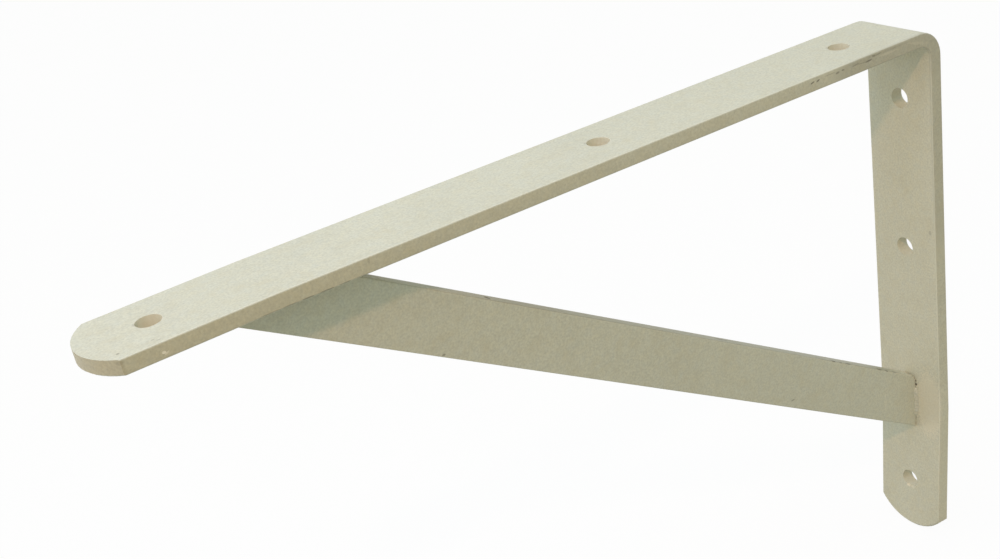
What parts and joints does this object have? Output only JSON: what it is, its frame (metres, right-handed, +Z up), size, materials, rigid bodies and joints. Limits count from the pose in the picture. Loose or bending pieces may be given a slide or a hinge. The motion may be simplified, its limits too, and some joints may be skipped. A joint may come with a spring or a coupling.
{
  "type": "gallows shelf bracket",
  "caption": "Welded gallows shelf bracket: a flat bar bent to a right angle, with rounded ends and screw holes, stiffened by a diagonal flat-bar brace and painted cream.",
  "frame": {"origin": "centre of the top wall screw's hole, on the face that meets the wall", "axes": "+X out from the wall along the arm, +Y across the bar, +Z up towards the shelf"},
  "size_m": [0.3068, 0.03, 0.2139],
  "materials": {
    "cream_paint": "satin cream paint on steel flat bar"
  },
  "bodies": {
    "root": {"bent_bar": "cream_paint", "brace": "cream_paint", "upright_weld_near": "cream_paint", "upright_weld_far": "cream_paint", "arm_weld_near": "cream_paint", "arm_weld_far": "cream_paint"}
  },
  "joints": []
}
